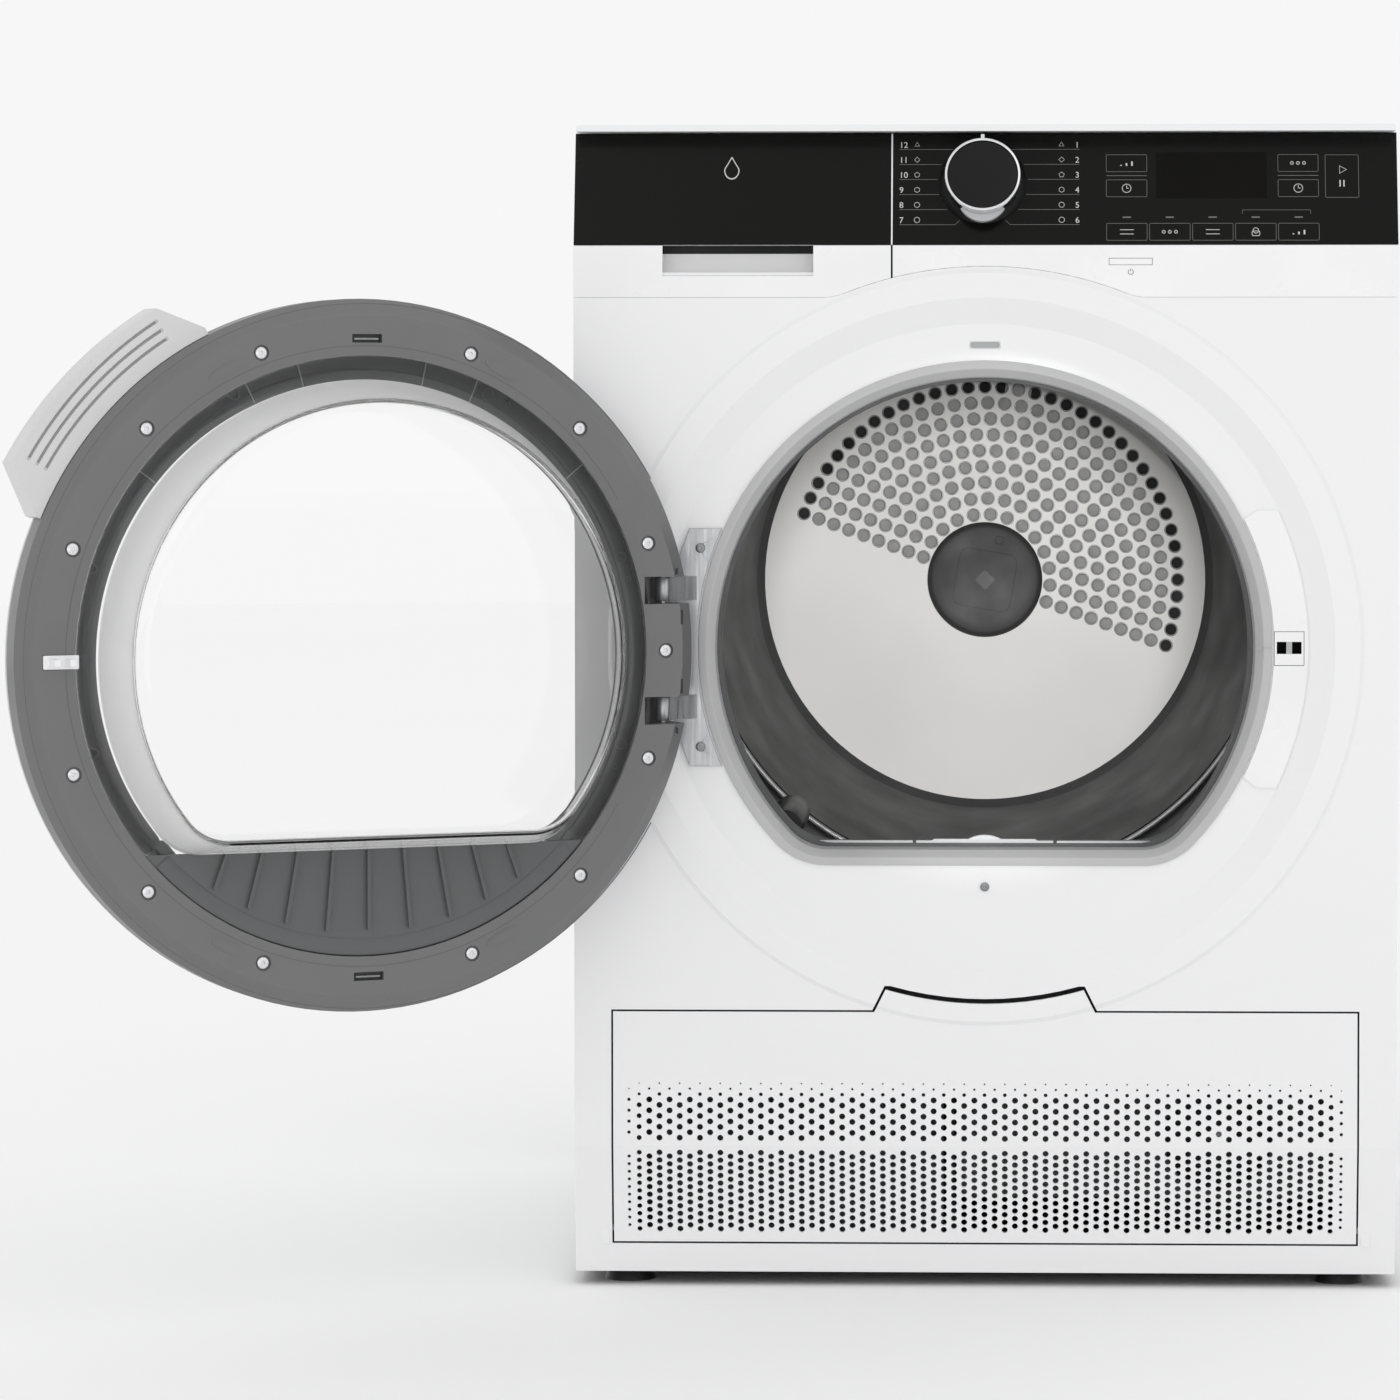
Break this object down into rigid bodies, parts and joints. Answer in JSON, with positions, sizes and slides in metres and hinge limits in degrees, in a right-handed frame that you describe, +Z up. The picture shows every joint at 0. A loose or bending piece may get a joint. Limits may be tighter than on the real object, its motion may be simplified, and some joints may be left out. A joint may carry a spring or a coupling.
{
  "type": "clothes dryer",
  "caption": "Front-loading condenser tumble dryer with round hinged glass door, water tank drawer, turning drum and perforated kick flap.",
  "frame": {"origin": "on the floor under the middle of the cabinet", "axes": "+X to the right seen from the front, +Y to the back, +Z up"},
  "size_m": [0.9762, 0.8815, 0.85],
  "materials": {
    "white_enamel": "gloss enamel on steel",
    "white_plastic": "satin moulded",
    "grey_plastic": "fine texture",
    "light_grey_plastic": "satin",
    "dark_plastic": "fine texture",
    "black_glass": "polished back-painted panel",
    "clear_glass": "clear",
    "seal_rubber": "matt",
    "silver_trim": "silver paint",
    "zinc_steel": "zinc plated",
    "drum_steel": "satin stainless",
    "drum_dark": "dark satin coat",
    "chrome": "polished",
    "aluminium": "bare",
    "belt_rubber": "matt",
    "board_green": "solder mask"
  },
  "bodies": {
    "cabinet": {"front_panel": "white_enamel", "side_panel_left": "white_enamel", "side_panel_right": "white_enamel", "rear_panel": "zinc_steel", "worktop": "white_plastic", "base_tray": "grey_plastic", "front_bulkhead": "white_plastic", "door_seal": "seal_rubber", "hinge_plate": "zinc_steel", "latch_cover": "white_plastic", "door_latch": "light_grey_plastic", "cabinet_screws": "zinc_steel", "control_fascia": "white_plastic", "fascia_glass": "black_glass", "control_board": "board_green", "tank_sleeve": "grey_plastic", "rear_bearing": "zinc_steel", "rear_duct": "zinc_steel", "heater": "zinc_steel", "drive_motor": "zinc_steel", "fan_housings": "grey_plastic", "drive_belt": "belt_rubber", "drain_pump": "dark_plastic", "rear_fittings": "dark_plastic", "condenser": "aluminium"},
    "door": {"door_frame": "grey_plastic", "door_bezel": "silver_trim", "door_glass": "clear_glass", "door_bowl": "clear_glass", "door_sill": "grey_plastic", "door_handle": "light_grey_plastic", "door_striker": "white_plastic", "door_screws": "zinc_steel", "hinge_pins": "zinc_steel"},
    "drum": {"drum_shell": "drum_dark", "drum_back": "drum_steel", "drum_lifters": "dark_plastic", "drum_hub": "grey_plastic", "drum_shaft": "zinc_steel"},
    "knob": {"knob_body": "dark_plastic", "knob_ring": "chrome"},
    "power_key": {"power_button": "white_plastic"},
    "tank": {"tank_body": "light_grey_plastic", "tank_front": "white_plastic", "tank_glass": "black_glass"},
    "kick_flap": {"kick_door": "white_plastic"},
    "lever_left": {"condenser_lever_left": "dark_plastic"},
    "lever_right": {"condenser_lever_right": "dark_plastic"},
    "filter": {"filter_frame": "white_plastic", "filter_leaf": "white_plastic"},
    "rotor": {"motor_pulley": "zinc_steel", "motor_fans": "dark_plastic"},
    "tensioner": {"idler_arm": "zinc_steel"},
    "tension_wheel": {"idler_wheel": "dark_plastic"},
    "left_roller": {"roller_left": "belt_rubber"},
    "right_roller": {"roller_right": "belt_rubber"},
    "front_left_foot": {"foot_front_left": "dark_plastic"},
    "front_right_foot": {"foot_front_right": "dark_plastic"},
    "rear_left_foot": {"foot_rear_left": "dark_plastic"},
    "rear_right_foot": {"foot_rear_right": "dark_plastic"}
  },
  "joints": [
    {"name": "door_hinge", "type": "hinge", "parent": "cabinet", "child": "door", "pos_m": [-0.2335, -0.324, 0.469], "axis": [0, 0, 1], "range_deg": [0, 154]},
    {"name": "drum_spin", "type": "hinge", "parent": "cabinet", "child": "drum", "pos_m": [0, 0, 0.502], "axis": [0, 1, 0], "continuous": true},
    {"name": "left_roller_spin", "type": "hinge", "parent": "cabinet", "child": "left_roller", "pos_m": [-0.17572, -0.238, 0.25105], "axis": [0, 1, 0], "continuous": true},
    {"name": "right_roller_spin", "type": "hinge", "parent": "cabinet", "child": "right_roller", "pos_m": [0.17572, -0.238, 0.25105], "axis": [0, 1, 0], "continuous": true},
    {"name": "motor_spin", "type": "hinge", "parent": "cabinet", "child": "rotor", "pos_m": [0.172, 0, 0.106], "axis": [0, 1, 0], "continuous": true},
    {"name": "tensioner_swing", "type": "hinge", "parent": "cabinet", "child": "tensioner", "pos_m": [0.12, -0.108, 0.178], "axis": [0, 1, 0], "range_deg": [0, 8], "stiffness_Nm_per_rad": 3, "springref_deg": -5.73},
    {"name": "tension_wheel_spin", "type": "hinge", "parent": "tensioner", "child": "tension_wheel", "pos_m": [0.068, -0.115, 0.16], "axis": [0, 1, 0], "continuous": true},
    {"name": "knob_turn", "type": "hinge", "parent": "cabinet", "child": "knob", "pos_m": [-0.0018, -0.28778, 0.808], "axis": [0, -0.9661, 0.2582], "continuous": true},
    {"name": "power_press", "type": "slide", "parent": "cabinet", "child": "power_key", "axis": [0, 1, 0], "range_m": [0, 0.0015], "stiffness_N_per_m": 1200},
    {"name": "tank_pull", "type": "slide", "parent": "cabinet", "child": "tank", "axis": [0, -1, 0], "range_m": [0, 0.36]},
    {"name": "kick_flap_hinge", "type": "hinge", "parent": "cabinet", "child": "kick_flap", "pos_m": [0, -0.2835, 0.0415], "axis": [1, 0, 0], "range_deg": [0, 90]},
    {"name": "lever_left_turn", "type": "hinge", "parent": "cabinet", "child": "lever_left", "pos_m": [-0.226, -0.2705, 0.14], "axis": [0, 1, 0], "range_deg": [-90, 0]},
    {"name": "lever_right_turn", "type": "hinge", "parent": "cabinet", "child": "lever_right", "pos_m": [-0.047, -0.2705, 0.14], "axis": [0, 1, 0], "range_deg": [0, 90]},
    {"name": "filter_lift", "type": "slide", "parent": "cabinet", "child": "filter", "axis": [0, 0, -1], "range_m": [-0.11, 0]},
    {"name": "front_left_foot_screw", "type": "slide", "parent": "cabinet", "child": "front_left_foot", "axis": [0, 0, -1], "range_m": [0, 0.012]},
    {"name": "front_right_foot_screw", "type": "slide", "parent": "cabinet", "child": "front_right_foot", "axis": [0, 0, -1], "range_m": [0, 0.012]},
    {"name": "rear_left_foot_screw", "type": "slide", "parent": "cabinet", "child": "rear_left_foot", "axis": [0, 0, -1], "range_m": [0, 0.012]},
    {"name": "rear_right_foot_screw", "type": "slide", "parent": "cabinet", "child": "rear_right_foot", "axis": [0, 0, -1], "range_m": [0, 0.012]}
  ],
  "couplings": [
    {"joint": "left_roller_spin", "follows": "drum_spin", "ratio": -14.3},
    {"joint": "right_roller_spin", "follows": "drum_spin", "ratio": -14.3},
    {"joint": "motor_spin", "follows": "drum_spin", "ratio": 23.541},
    {"joint": "tension_wheel_spin", "follows": "drum_spin", "ratio": 23.867}
  ]
}
